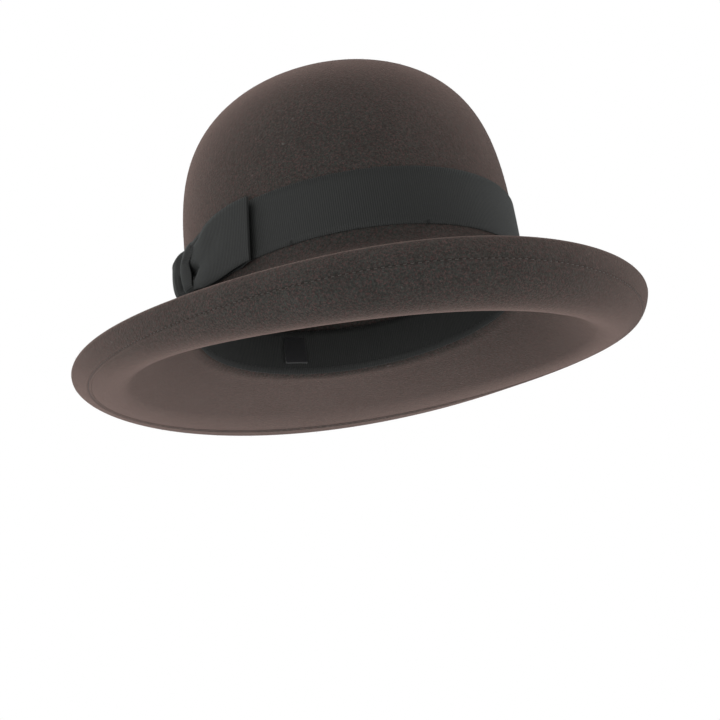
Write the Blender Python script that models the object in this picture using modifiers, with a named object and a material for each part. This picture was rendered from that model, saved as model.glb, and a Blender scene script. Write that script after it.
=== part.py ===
"""A round-crowned hat of blocked wool felt: ribbon, bow, wired and welted brim, sweatband.

Metres, +Z up. The front of the hat faces -Y and the wearer's left is +X. The origin is the
centre of the head opening, at the height where the crown turns into the brim. A turn of 0 is
the front of the hat, and turns grow towards the wearer's left.
"""

import math

import bmesh
import bpy
from mathutils import Vector

# Crown: the outer face of the felt is an oval that follows a rounded profile up to the tip.
CROWN_HALF_LENGTH = 0.1025
CROWN_HALF_WIDTH = 0.0896
CROWN_HEIGHT = 0.138
CROWN_FULLNESS = 4.8
CROWN_SHOULDER = 2.1
CROWN_TAPER = 0.03
CROWN_LEAN_BACK = 0.0075
CROWN_RINGS = 12
WALL_HEIGHTS = (0.045, 0.025)

# Brim, measured on its underside. Each measure is a mean, a front-to-back part, a
# front-to-side part, a left-to-right part and a part that comes three times round.
BRIM_WIDTH = (0.0916, 0.0091, 0.0135, 0.0, 0.0)
BRIM_SLOPE = (-34.6, -26.0, 3.5, 3.8, 1.7)
RIM_SLOPE = (67.0, 53.5, -5.7, -16.0, 0.0)
ROLL_START = 0.525
ROLL_EASE = 0.72
BREAK_FILLET = 0.006
SLOPE_STEPS = 3
ROLL_STEPS = 7

# Felt and the welt: the edge is folded under round a wire and stitched down.
FELT_THICKNESS = 0.0018
FIT_GAP = 0.0003
WIRE_RADIUS = 0.00045
FOLD_RADIUS = WIRE_RADIUS + FIT_GAP + FELT_THICKNESS / 2
WELT_WIDTH = 0.0125
WELT_PROUD = 0.0006
WELT_EASE_IN = 0.009
WELT_STEPS = 4
FOLD_STEPS = 4
FILLET_SHARES = (0.25, 0.5, 0.75)
STITCH_FROM_RIM = 0.011
THREAD_RADIUS = 0.00025
WIRE_GAP_SHARE = 0.35
JOINER_RADIUS = 0.0006

# Ribbon, bow and sweatband, all in grosgrain. Stand-offs are from the felt's outer face.
RIBBON_LOW = 0.010
RIBBON_WIDTH = 0.032
RIBBON_THICKNESS = 0.0006
RIBBON_MIDDLE = FIT_GAP + RIBBON_THICKNESS / 2
RIBBON_FACE = FIT_GAP + RIBBON_THICKNESS
BOW_TURN = -92.0
BOW_WIDTH = 0.035
BOW_DROP = 0.0006
BOW_MIDDLE = RIBBON_LOW + RIBBON_WIDTH / 2 - BOW_DROP
LOOP_LENGTH_FRONT = 0.060
LOOP_LENGTH_REAR = 0.048
LOOP_START = 0.0006
LOOP_ROOM = 0.0003
LOOP_INNER = RIBBON_FACE + FIT_GAP + RIBBON_THICKNESS / 2 + LOOP_ROOM
LOOP_STAND_OFF = 0.0034
LOOP_OPENING = 0.03
LOOP_WAIST = 0.72
WAIST_FULLNESS = 0.0036
LOOP_STEPS = 8
KNOT_HALF_WIDTH = 0.010
KNOT_THICKNESS = 0.001
KNOT_CORNER = 0.0006
KNOT_SHOULDER = 0.95
KNOT_ROOM = 0.0015
KNOT_CLEARANCE = 0.0002
KNOT_INNER = RIBBON_FACE + FIT_GAP + KNOT_THICKNESS / 2 + KNOT_CLEARANCE
WAIST_INNER = KNOT_INNER + KNOT_THICKNESS / 2 + FIT_GAP + RIBBON_THICKNESS / 2
WAIST_OUTER = WAIST_INNER + RIBBON_THICKNESS + WAIST_FULLNESS
KNOT_OUTER = WAIST_OUTER + RIBBON_THICKNESS / 2 + FIT_GAP + KNOT_THICKNESS / 2
TACK_RADIUS = 0.00025
TACK_LENGTH = 0.0024
TACK_RISE = 0.009
TACK_CLEARANCE = 0.0012
TACK_STATIONS = {"front": 0, "left": 12, "back": 24, "right_front": 42}
SWEATBAND_LOW = 0.001
SWEATBAND_WIDTH = 0.025
SWEATBAND_THICKNESS = 0.0008
SWEATBAND_MIDDLE = -(FELT_THICKNESS + FIT_GAP + SWEATBAND_THICKNESS / 2)
SWEATBAND_FACE = -(FELT_THICKNESS + FIT_GAP + SWEATBAND_THICKNESS)
SWEATBAND_STITCH_HEIGHT = 0.004
TAG_LOW = 0.007
TAG_HEIGHT = 0.016
TAG_THICKNESS = 0.0008
TAG_SHARE = 0.6

STATIONS = 48
FINE_STEPS = 240

FELT_COLOUR = (0.062, 0.050, 0.046)
GROSGRAIN_COLOUR = (0.016, 0.017, 0.016)
THREAD_COLOUR = (0.030, 0.024, 0.022)
STEEL_COLOUR = (0.45, 0.45, 0.47)
SATIN_COLOUR = (0.012, 0.012, 0.013)


def clear_scene():
    for thing in list(bpy.data.objects):
        bpy.data.objects.remove(thing)


def make_material(name, colour, roughness, metallic=0.0):
    material = bpy.data.materials.new(name)
    material.use_nodes = True
    shader = material.node_tree.nodes["Principled BSDF"]
    shader.inputs["Base Color"].default_value = (*colour, 1.0)
    shader.inputs["Roughness"].default_value = roughness
    shader.inputs["Metallic"].default_value = metallic
    return material


def turns():
    """The turns, in radians, of the stations round the hat."""
    return [2 * math.pi * i / STATIONS for i in range(STATIONS)]


def around(measure, turn):
    """A measure that changes smoothly round the hat."""
    mean, front_back, front_side, left_right, threefold = measure
    return (
        mean
        + front_back * math.cos(turn)
        + front_side * math.cos(2 * turn)
        + left_right * math.sin(turn)
        + threefold * math.cos(3 * turn)
    )


def oval_outward(turn):
    """The level direction that points straight out of the head oval."""
    return Vector(
        (CROWN_HALF_LENGTH * math.sin(turn), -CROWN_HALF_WIDTH * math.cos(turn), 0)
    ).normalized()


def crown_scale(height):
    """The crown's size at a height, as a share of its size at the foot."""
    share = max(0.0, min(1.0, height / CROWN_HEIGHT))
    rounding = (1 - share**CROWN_FULLNESS) ** (1 / CROWN_SHOULDER)
    return rounding * (1 - CROWN_TAPER * share)


def crown_point(turn, height, stand_off=0.0):
    """A point on the crown's outer face, or that far outside it."""
    scale = crown_scale(height)
    lean = CROWN_LEAN_BACK * (height / CROWN_HEIGHT) ** 2
    return Vector(
        (
            (CROWN_HALF_WIDTH * scale + stand_off) * math.sin(turn),
            -(CROWN_HALF_LENGTH * scale + stand_off) * math.cos(turn) + lean,
            height,
        )
    )


def brim_point(turn, reach, height):
    """A point beside the head oval: how far out, and how high."""
    foot = crown_point(turn, 0.0)
    return foot + oval_outward(turn) * reach + Vector((0, 0, height))


def steps_between(start, end, count):
    """The starts of equal steps from one distance to another."""
    return [start + (end - start) * step / count for step in range(count)]


def brim_profile(turn):
    """(distance, reach, height, slope) along the brim's underside, from break to rim."""
    width = around(BRIM_WIDTH, turn)
    start = math.radians(around(BRIM_SLOPE, turn))
    end = math.radians(around(RIM_SLOPE, turn))
    reach = height = 0.0
    profile = [(0.0, 0.0, 0.0, start)]
    for step in range(1, FINE_STEPS + 1):
        middle = (step - 0.5) / FINE_STEPS
        rolled = max(0.0, (middle - ROLL_START) / (1 - ROLL_START)) ** ROLL_EASE
        slope = start + (end - start) * rolled
        reach += width / FINE_STEPS * math.cos(slope)
        height += width / FINE_STEPS * math.sin(slope)
        profile.append((width * step / FINE_STEPS, reach, height, slope))
    return profile


def below(profile, distance, depth):
    """Reach and height of a point that deep under the brim's underside, negative inside it."""
    width = profile[-1][0]
    place = max(0.0, min(FINE_STEPS - 1e-6, distance / width * FINE_STEPS))
    low, high = profile[int(place)], profile[int(place) + 1]
    share = place - int(place)
    reach, height, slope = (a + (b - a) * share for a, b in zip(low[1:], high[1:]))
    return reach + depth * math.sin(slope), height - depth * math.cos(slope)


def ease(share):
    share = max(0.0, min(1.0, share))
    return share * share * (3 - 2 * share)


def welt_depth():
    """The depth of the middle of the folded-under layer, all along the welt."""
    return WELT_PROUD - FELT_THICKNESS / 2


def brim_depth(from_rim):
    """The depth of the middle of the brim's own layer, which makes room for the welt."""
    plain = -FELT_THICKNESS / 2
    if from_rim > WELT_WIDTH:
        tucked = welt_depth() - FELT_THICKNESS - FIT_GAP
        return tucked + (plain - tucked) * ease((from_rim - WELT_WIDTH) / WELT_EASE_IN)
    layers = FELT_THICKNESS + FIT_GAP
    layers += (2 * FOLD_RADIUS - layers) * ease(1 - from_rim / WELT_WIDTH)
    return welt_depth() - layers


def felt_section(turn):
    """Points of the felt's middle at one turn: crown, break, brim, fold and welt."""
    inside = -FELT_THICKNESS / 2
    points = []
    for ring in range(1, CROWN_RINGS):
        angle = math.pi / 2 * ring / CROWN_RINGS
        height = (CROWN_HEIGHT + inside) * math.cos(angle) ** (2 / CROWN_FULLNESS)
        points.append(crown_point(turn, height, inside))
    for height in (*WALL_HEIGHTS, BREAK_FILLET):
        points.append(crown_point(turn, height, inside))

    profile = brim_profile(turn)
    width = profile[-1][0]
    fold_start = width - FOLD_RADIUS - FELT_THICKNESS / 2
    roll_start = width * ROLL_START
    welt_start = fold_start - WELT_WIDTH
    wall_end = points[-1]
    break_point = crown_point(turn, 0.0, inside)
    slope_start = brim_point(turn, *below(profile, BREAK_FILLET, inside))
    for share in FILLET_SHARES:
        points.append(
            wall_end * (1 - share) ** 2
            + break_point * 2 * share * (1 - share)
            + slope_start * share**2
        )
    distances = (
        steps_between(BREAK_FILLET, roll_start, SLOPE_STEPS)
        + steps_between(roll_start, welt_start, ROLL_STEPS)
        + steps_between(welt_start, fold_start, WELT_STEPS)
        + [fold_start]
    )
    for distance in distances:
        depth = brim_depth(fold_start - distance)
        points.append(brim_point(turn, *below(profile, distance, depth)))

    centre, across, outward = fold_frame(profile, fold_start)
    for step in range(1, FOLD_STEPS):
        angle = math.pi * step / FOLD_STEPS
        spot = centre + outward * math.sin(angle) - across * math.cos(angle)
        points.append(brim_point(turn, *spot))
    for step in range(WELT_STEPS + 1):
        distance = fold_start - WELT_WIDTH * step / WELT_STEPS
        points.append(brim_point(turn, *below(profile, distance, welt_depth())))
    return points


def fold_frame(profile, fold_start):
    """The welt fold's centre, and its radius across the layers and out to the rim."""
    over = Vector(below(profile, fold_start, brim_depth(0.0)))
    under = Vector(below(profile, fold_start, welt_depth()))
    across = (under - over) / 2
    return (over + under) / 2, across, Vector((-across.y, across.x))


def loft(name, sections, closed=True):
    """A sheet through sections of equal length, as a new object."""
    size = len(sections[0])
    vertices = [point for section in sections for point in section]
    faces = []
    for i in range(len(sections) - (0 if closed else 1)):
        here = i * size
        there = (i + 1) % len(sections) * size
        for j in range(size - 1):
            faces.append((here + j, here + j + 1, there + j + 1, there + j))
    mesh = bpy.data.meshes.new(name)
    mesh.from_pydata(vertices, [], faces)
    return bpy.data.objects.new(name, mesh)


def finish(piece, collection, material, sharp_angle=35.0):
    collection.objects.link(piece)
    piece.data.materials.append(material)
    if piece.type == "MESH":
        piece.data.shade_smooth()
        piece.data.set_sharp_from_angle(angle=math.radians(sharp_angle))
    return piece


def thicken(piece, thickness):
    """Gives a sheet its thickness, half to each side."""
    solidify = piece.modifiers.new("thickness", "SOLIDIFY")
    solidify.thickness = thickness
    solidify.offset = 0.0
    solidify.use_even_offset = True
    return piece


def make_felt(collection, material):
    sections = [felt_section(turn) for turn in turns()]
    body = loft("felt_body", sections)
    mesh = body.data
    shell = bmesh.new()
    shell.from_mesh(mesh)
    shell.verts.ensure_lookup_table()
    size = len(sections[0])
    rim_of_tip = [shell.verts[i * size] for i in range(STATIONS)]
    tip = shell.verts.new(crown_point(0.0, CROWN_HEIGHT - FELT_THICKNESS / 2))
    for i in range(STATIONS):
        shell.faces.new((tip, rim_of_tip[i], rim_of_tip[(i + 1) % STATIONS]))
    bmesh.ops.recalc_face_normals(shell, faces=shell.faces)
    shell.to_mesh(mesh)
    shell.free()
    thicken(body, FELT_THICKNESS)
    return finish(body, collection, material)


def make_wall(name, low, high, stand_off, thickness, collection, material):
    """A band that follows the crown's wall all the way round."""
    sections = [
        [crown_point(turn, height, stand_off) for height in (high, (low + high) / 2, low)]
        for turn in turns()
    ]
    wall = thicken(loft(name, sections), thickness)
    return finish(wall, collection, material)


def make_line(name, points, radius, cyclic, collection, material):
    """A round thread or wire through points."""
    curve = bpy.data.curves.new(name, "CURVE")
    curve.dimensions = "3D"
    curve.bevel_depth = radius
    curve.bevel_resolution = 1
    curve.use_fill_caps = not cyclic
    spline = curve.splines.new("POLY")
    spline.points.add(len(points) - 1)
    for spot, point in zip(spline.points, points):
        spot.co = (*point, 1.0)
    spline.use_cyclic_u = cyclic
    line = bpy.data.objects.new(name, curve)
    return finish(line, collection, material)


def edge_line(from_rim, depth):
    """Points round the brim, that far from the fold and that deep under its underside."""
    points = []
    for turn in turns():
        profile = brim_profile(turn)
        fold_start = profile[-1][0] - FOLD_RADIUS - FELT_THICKNESS / 2
        points.append(brim_point(turn, *below(profile, fold_start - from_rim, depth)))
    return points


def make_brim_wire(collection, steel):
    """The wire in the fold, open at the back, and the crimped tube that joins its ends."""
    ring = edge_line(0.0, welt_depth() - FOLD_RADIUS)
    back = STATIONS // 2
    middle = ring[back]
    before = middle.lerp(ring[back - 1], WIRE_GAP_SHARE)
    after = middle.lerp(ring[back + 1], WIRE_GAP_SHARE)
    gap = (before - middle).normalized() * FIT_GAP, (after - middle).normalized() * FIT_GAP
    route = [after + gap[1]] + ring[back + 1 :] + ring[:back] + [before + gap[0]]
    make_line("brim_wire", route, WIRE_RADIUS, False, collection, steel)
    make_line("wire_joiner", [before, middle, after], JOINER_RADIUS, False, collection, steel)


def make_welt_threads(collection, material):
    surface = FELT_THICKNESS / 2 + FIT_GAP + THREAD_RADIUS
    under = edge_line(STITCH_FROM_RIM, welt_depth() + surface)
    make_line("welt_needle_thread", under, THREAD_RADIUS, True, collection, material)
    over = edge_line(STITCH_FROM_RIM, brim_depth(STITCH_FROM_RIM) - surface)
    make_line("welt_bobbin_thread", over, THREAD_RADIUS, True, collection, material)


def turn_at(distance):
    """The turn that lies that far round the ribbon from the bow's knot, frontwards."""
    turn = math.radians(BOW_TURN)
    for _ in range(STATIONS):
        pace = math.hypot(
            CROWN_HALF_WIDTH * math.cos(turn), CROWN_HALF_LENGTH * math.sin(turn)
        )
        turn += distance / STATIONS / pace
    return turn


def bow_point(distance, stand_off, rise):
    """A point of the bow: along the ribbon, out from the felt, up from the bow's middle."""
    return crown_point(turn_at(distance), BOW_MIDDLE + rise, stand_off)


def loop_path(length):
    """(distance, stand-off, width) along a flat loop: out on the ribbon, round and back."""
    fold = LOOP_STAND_OFF / 2
    straight = length - fold
    waist_half = BOW_WIDTH / 2 * LOOP_WAIST
    inner, outer = [], []
    for step in range(LOOP_STEPS + 1):
        distance = LOOP_START + (straight - LOOP_START) * step / LOOP_STEPS
        opened = ease((distance - KNOT_HALF_WIDTH) / LOOP_OPENING)
        half = waist_half + (BOW_WIDTH / 2 - waist_half) * opened
        under = WAIST_INNER + (LOOP_INNER - WAIST_INNER) * opened
        over = WAIST_OUTER + (LOOP_INNER + LOOP_STAND_OFF - WAIST_OUTER) * opened
        inner.append((distance, under, half))
        outer.append((distance, over, half))
    bend = []
    for step in range(1, FOLD_STEPS):
        angle = -math.pi / 2 + math.pi * step / FOLD_STEPS
        distance = straight + fold * math.cos(angle)
        stand_off = LOOP_INNER + fold + fold * math.sin(angle)
        bend.append((distance, stand_off, BOW_WIDTH / 2))
    return inner + bend + outer[::-1]


def make_loop(name, length, direction, collection, material):
    """One flat loop of the bow, frontwards for a direction of 1 and backwards for -1."""
    sections = []
    for distance, stand_off, half in loop_path(length):
        rises = (half, 0.0, -half)
        sections.append([bow_point(direction * distance, stand_off, rise) for rise in rises])
    loop = thicken(loft(name, sections, closed=False), RIBBON_THICKNESS)
    return finish(loop, collection, material)


def make_knot(collection, material):
    """The wrap round the waist of the bow, a closed band."""
    half_height = BOW_WIDTH / 2 * LOOP_WAIST + KNOT_ROOM
    corners = [
        (KNOT_INNER, KNOT_SHOULDER),
        (KNOT_INNER, -KNOT_SHOULDER),
        (KNOT_INNER + KNOT_CORNER, -1.0),
        (KNOT_OUTER - KNOT_CORNER, -1.0),
        (KNOT_OUTER, -KNOT_SHOULDER),
        (KNOT_OUTER, 0.0),
        (KNOT_OUTER, KNOT_SHOULDER),
        (KNOT_OUTER - KNOT_CORNER, 1.0),
        (KNOT_INNER + KNOT_CORNER, 1.0),
    ]
    sections = []
    for stand_off, level in corners:
        across = (-KNOT_HALF_WIDTH, 0.0, KNOT_HALF_WIDTH)
        sections.append([bow_point(side, stand_off, level * half_height) for side in across])
    knot = thicken(loft("bow_knot", sections), KNOT_THICKNESS)
    return finish(knot, collection, material)


def make_size_tag(collection, material):
    """A small blank tab on the sweatband at the back, flat across the stations it spans."""
    back = STATIONS // 2
    stand_off = SWEATBAND_FACE - FIT_GAP - TAG_THICKNESS / 2
    heights = (TAG_LOW + TAG_HEIGHT, TAG_LOW)
    station_turns = turns()
    middle, before, after = (
        [crown_point(station_turns[back + step], height, stand_off) for height in heights]
        for step in (0, -1, 1)
    )
    sections = [
        [a.lerp(b, TAG_SHARE) for a, b in zip(middle, before)],
        middle,
        [a.lerp(b, TAG_SHARE) for a, b in zip(middle, after)],
    ]
    tag = thicken(loft("size_tag", sections, closed=False), TAG_THICKNESS)
    return finish(tag, collection, material)


def make_tacks(collection, material):
    """Stitches over the ribbon's lower edge, and through the bow's loops by the knot."""
    half = TACK_LENGTH / 2
    stand_off = RIBBON_FACE + FIT_GAP + TACK_RADIUS
    for place, station in TACK_STATIONS.items():
        turn = turns()[station]
        ends = [crown_point(turn, RIBBON_LOW + rise, stand_off) for rise in (-half, half)]
        name = f"ribbon_tack_{place}"
        make_line(name, ends, TACK_RADIUS, False, collection, material)

    stand_off = WAIST_OUTER + RIBBON_THICKNESS / 2 + FIT_GAP + TACK_RADIUS + TACK_CLEARANCE
    start = KNOT_HALF_WIDTH + FIT_GAP
    for side, direction in (("front", 1), ("rear", -1)):
        for level, rise in (("top", TACK_RISE), ("bottom", -TACK_RISE)):
            ends = [
                bow_point(direction * distance, stand_off, rise)
                for distance in (start, start + TACK_LENGTH)
            ]
            name = f"bow_tack_{side}_{level}"
            make_line(name, ends, TACK_RADIUS, False, collection, material)


def main():
    clear_scene()
    hat = bpy.data.collections.new("wool_felt_hat")
    bpy.context.scene.collection.children.link(hat)
    felt = make_material("brown wool felt", FELT_COLOUR, 0.95)
    grosgrain = make_material("black grosgrain", GROSGRAIN_COLOUR, 0.6)
    thread = make_material("brown thread", THREAD_COLOUR, 0.7)
    steel = make_material("spring steel", STEEL_COLOUR, 0.35, 1.0)
    satin = make_material("black satin", SATIN_COLOUR, 0.4)

    make_felt(hat, felt)
    make_brim_wire(hat, steel)
    make_welt_threads(hat, thread)
    ribbon_high = RIBBON_LOW + RIBBON_WIDTH
    make_wall(
        "crown_ribbon", RIBBON_LOW, ribbon_high, RIBBON_MIDDLE, RIBBON_THICKNESS, hat, grosgrain
    )
    make_loop("bow_front_loop", LOOP_LENGTH_FRONT, 1, hat, grosgrain)
    make_loop("bow_rear_loop", LOOP_LENGTH_REAR, -1, hat, grosgrain)
    make_knot(hat, grosgrain)
    make_wall(
        "sweatband",
        SWEATBAND_LOW,
        SWEATBAND_LOW + SWEATBAND_WIDTH,
        SWEATBAND_MIDDLE,
        SWEATBAND_THICKNESS,
        hat,
        grosgrain,
    )
    stitch_stand_off = SWEATBAND_FACE - FIT_GAP - THREAD_RADIUS
    stitch_line = [crown_point(turn, SWEATBAND_STITCH_HEIGHT, stitch_stand_off) for turn in turns()]
    make_line("sweatband_thread", stitch_line, THREAD_RADIUS, True, hat, thread)
    make_size_tag(hat, satin)
    make_tacks(hat, thread)


main()
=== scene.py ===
import bisect
import math
import random

import bmesh
import bpy
from mathutils import Matrix, Vector


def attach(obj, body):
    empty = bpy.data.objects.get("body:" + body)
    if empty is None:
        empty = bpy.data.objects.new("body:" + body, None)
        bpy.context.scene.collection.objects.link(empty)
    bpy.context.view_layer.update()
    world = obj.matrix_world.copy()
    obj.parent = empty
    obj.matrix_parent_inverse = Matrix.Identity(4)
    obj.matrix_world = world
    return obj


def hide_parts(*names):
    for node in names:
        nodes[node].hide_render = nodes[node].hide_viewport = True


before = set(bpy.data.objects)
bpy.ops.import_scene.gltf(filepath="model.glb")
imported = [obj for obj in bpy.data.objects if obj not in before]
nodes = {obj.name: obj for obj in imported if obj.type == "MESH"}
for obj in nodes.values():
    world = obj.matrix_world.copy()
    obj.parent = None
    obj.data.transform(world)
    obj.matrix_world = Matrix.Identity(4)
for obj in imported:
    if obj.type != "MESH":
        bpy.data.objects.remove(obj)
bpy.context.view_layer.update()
scene = bpy.context.scene
print("frame loaded:", len(nodes), "nodes")

# The hat's front faces -Y, the wearer's left is +X, and the head opening is level with z = 0.
# A turn is an angle round the hat in radians: 0 at the front, growing to the wearer's left.

camera = {
    "azimuth": -23.73,
    "elevation": -18.21,
    "roll": -8.24,
    "distance": 1.288,
    "across": 0.00054,
    "up": -0.0252,
    "lens": 118.3,
}


def makeCamera(facts):
    azimuth = math.radians(facts["azimuth"])
    elevation = math.radians(facts["elevation"])
    roll = math.radians(facts["roll"])
    back = Vector((
        math.sin(azimuth) * math.cos(elevation),
        -math.cos(azimuth) * math.cos(elevation),
        math.sin(elevation),
    ))
    level = (-back).cross(Vector((0, 0, 1))).normalized()
    above = level.cross(-back)
    right = level * math.cos(roll) + above * math.sin(roll)
    upward = above * math.cos(roll) - level * math.sin(roll)
    data = bpy.data.cameras.new("camera")
    data.sensor_width = 36
    data.lens = facts["lens"]
    data.clip_start = 0.01
    data.clip_end = 60
    shot = bpy.data.objects.new("camera", data)
    turned = Matrix((right, upward, back)).transposed().to_4x4()
    place = back * facts["distance"] + right * facts["across"] + upward * facts["up"]
    shot.matrix_world = Matrix.Translation(place) @ turned
    scene.collection.objects.link(shot)
    scene.camera = shot


makeCamera(camera)

studio = {
    "floorHeight": -0.75,
    "floorSize": 9.0,
    "floorColour": (0.80, 0.80, 0.80, 1),
    "front": 0.34,
    "behind": 0.80,
    "softboxes": {
        # place, size, power, aimed at the hat
        "softboxLeft": ((-1.5, -0.6, -0.26), 1.0, 7.5),
        "softboxLow": ((-0.9, -1.2, -0.62), 0.8, 10.0),
        "softboxRight": ((1.6, -0.6, -0.30), 1.0, 11.0),
    },
}


def makeStudio(facts):
    floor = bmesh.new()
    bmesh.ops.create_grid(floor, x_segments=1, y_segments=1, size=facts["floorSize"])
    bmesh.ops.translate(floor, verts=floor.verts, vec=(0, 0, facts["floorHeight"]))
    mesh = bpy.data.meshes.new("floor")
    floor.to_mesh(mesh)
    floor.free()
    ground = bpy.data.objects.new("floor", mesh)
    scene.collection.objects.link(ground)
    paint = bpy.data.materials.new("palePaint")
    paint.use_nodes = True
    matt = paint.node_tree.nodes["Principled BSDF"]
    matt.inputs["Base Color"].default_value = facts["floorColour"]
    matt.inputs["Roughness"].default_value = 0.9
    mesh.materials.append(paint)

    for name, (place, size, power) in facts["softboxes"].items():
        lamp = bpy.data.lights.new(name, "AREA")
        lamp.shape = "DISK"
        lamp.size = size
        lamp.energy = power
        box = bpy.data.objects.new(name, lamp)
        aim = Vector(place).to_track_quat("Z", "Y").to_matrix().to_4x4()
        box.matrix_world = Matrix.Translation(place) @ aim
        scene.collection.objects.link(box)

    # A white sweep: bright behind the hat, dimmer on the camera's side, plain white to look at.
    world = bpy.data.worlds.new("studio")
    scene.world = world
    world.use_nodes = True
    tree = world.node_tree
    tree.nodes.clear()
    make = tree.nodes.new
    out = make("ShaderNodeOutputWorld")
    blend = make("ShaderNodeMixShader")
    seen = make("ShaderNodeBackground")
    lit = make("ShaderNodeBackground")
    path = make("ShaderNodeLightPath")
    where = make("ShaderNodeTexCoord")
    split = make("ShaderNodeSeparateXYZ")
    ramp = make("ShaderNodeMapRange")
    ramp.inputs["From Min"].default_value = -0.9
    ramp.inputs["From Max"].default_value = 0.6
    ramp.inputs["To Min"].default_value = facts["front"]
    ramp.inputs["To Max"].default_value = facts["behind"]
    ramp.interpolation_type = "SMOOTHSTEP"
    tree.links.new(where.outputs["Generated"], split.inputs[0])
    tree.links.new(split.outputs["Y"], ramp.inputs["Value"])
    tree.links.new(ramp.outputs["Result"], lit.inputs["Strength"])
    lit.inputs["Color"].default_value = (1, 1, 1, 1)
    seen.inputs["Color"].default_value = (1, 1, 1, 1)
    tree.links.new(path.outputs["Is Camera Ray"], blend.inputs[0])
    tree.links.new(lit.outputs[0], blend.inputs[1])
    tree.links.new(seen.outputs[0], blend.inputs[2])
    tree.links.new(blend.outputs[0], out.inputs["Surface"])
    scene.view_settings.view_transform = "Standard"
    scene.view_settings.look = "None"


makeStudio(studio)
print("camera and studio made")


def addNode(tree, kind, values=None, **settings):
    node = tree.nodes.new(kind)
    for key, value in settings.items():
        setattr(node, key, value)
    for key, value in (values or {}).items():
        if isinstance(value, bpy.types.NodeSocket):
            tree.links.new(value, node.inputs[key])
        else:
            node.inputs[key].default_value = value
    return node


def newGroup(name, inputs, outputs):
    tree = bpy.data.node_groups.new(name, "ShaderNodeTree")
    for label, kind, value in inputs:
        socket = tree.interface.new_socket(label, in_out="INPUT", socket_type="NodeSocket" + kind)
        if value is not None:
            socket.default_value = value
    for label, kind in outputs:
        tree.interface.new_socket(label, in_out="OUTPUT", socket_type="NodeSocket" + kind)
    given = tree.nodes.new("NodeGroupInput").outputs
    taken = tree.nodes.new("NodeGroupOutput").inputs
    return tree, given, taken


def noise(tree, where, scale, detail=3.0, roughness=0.55):
    values = {"Vector": where, "Scale": scale, "Detail": detail, "Roughness": roughness}
    return addNode(tree, "ShaderNodeTexNoise", values).outputs["Fac"]


def stretched(tree, where, turned, scale):
    values = {"Vector": where, "Rotation": turned, "Scale": scale}
    return addNode(tree, "ShaderNodeMapping", values).outputs["Vector"]


def sums(tree, operation, first, second, clamp=False):
    values = {0: first, 1: second}
    node = addNode(tree, "ShaderNodeMath", values, operation=operation, use_clamp=clamp)
    return node.outputs[0]


def remap(tree, value, low, high, bottom=0.0, top=1.0):
    values = {"Value": value, "From Min": low, "From Max": high, "To Min": bottom, "To Max": top}
    return addNode(tree, "ShaderNodeMapRange", values).outputs["Result"]


def blendColour(tree, share, first, second, mode="MIX"):
    node = addNode(tree, "ShaderNodeMix", {0: share, 6: first, 7: second}, data_type="RGBA", blend_type=mode)
    return node.outputs[2]


def makeFibreGroup():
    # matted wool: fine fibres lying every way, heather flecks and slow changes of tone
    tree, given, taken = newGroup(
        "mattedFibres",
        [
            ("Position", "Vector", None),
            ("Base", "Color", (0.05, 0.04, 0.035, 1)),
            ("Warm", "Color", (0.08, 0.05, 0.04, 1)),
            ("Cool", "Color", (0.04, 0.045, 0.04, 1)),
            ("Flecks", "Float", 0.5),
            ("Tone", "Float", 0.2),
        ],
        [("Color", "Color"), ("Height", "Float"), ("Roughness", "Float")],
    )
    where = given["Position"]
    first = noise(tree, stretched(tree, where, (0.4, 0.9, 0.2), (260, 1500, 1500)), 1.0)
    second = noise(tree, stretched(tree, where, (1.3, 0.3, 1.1), (1500, 300, 1500)), 1.0)
    third = noise(tree, stretched(tree, where, (0.2, 1.5, 2.0), (1500, 1500, 280)), 1.0)
    fine = noise(tree, where, 1400.0, 2.0)
    matted = sums(tree, "MAXIMUM", sums(tree, "MAXIMUM", first, second), third)
    height = sums(tree, "ADD", sums(tree, "MULTIPLY", matted, 0.7), sums(tree, "MULTIPLY", fine, 0.3))
    warmth = remap(tree, noise(tree, where, 980.0, 2.0, 0.6), 0.46, 0.66)
    coolPlace = stretched(tree, where, (0.7, 0.1, 0.5), (1, 1, 1))
    coolth = remap(tree, noise(tree, coolPlace, 900.0, 2.0, 0.6), 0.46, 0.68)
    warmth = sums(tree, "MULTIPLY", warmth, given["Flecks"])
    coolth = sums(tree, "MULTIPLY", coolth, given["Flecks"])
    colour = blendColour(tree, warmth, given["Base"], given["Warm"])
    colour = blendColour(tree, coolth, colour, given["Cool"])
    clumps = noise(tree, where, 700.0, 2.0, 0.7)
    dark = remap(tree, sums(tree, "ADD", height, clumps), 0.85, 1.25, 0.62, 1.34)
    colour = blendColour(tree, 1.0, colour, dark, "MULTIPLY")
    height = sums(tree, "ADD", sums(tree, "MULTIPLY", height, 0.6), sums(tree, "MULTIPLY", clumps, 0.4))
    slow = remap(tree, noise(tree, where, 38.0, 4.0), 0.3, 0.7, -1.0, 1.0)
    slow = sums(tree, "ADD", sums(tree, "MULTIPLY", slow, given["Tone"]), 1.0)
    colour = blendColour(tree, 1.0, colour, slow, "MULTIPLY")
    tree.links.new(colour, taken["Color"])
    tree.links.new(height, taken["Height"])
    tree.links.new(remap(tree, height, 0.3, 0.8, 1.0, 0.86), taken["Roughness"])
    return tree


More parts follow.
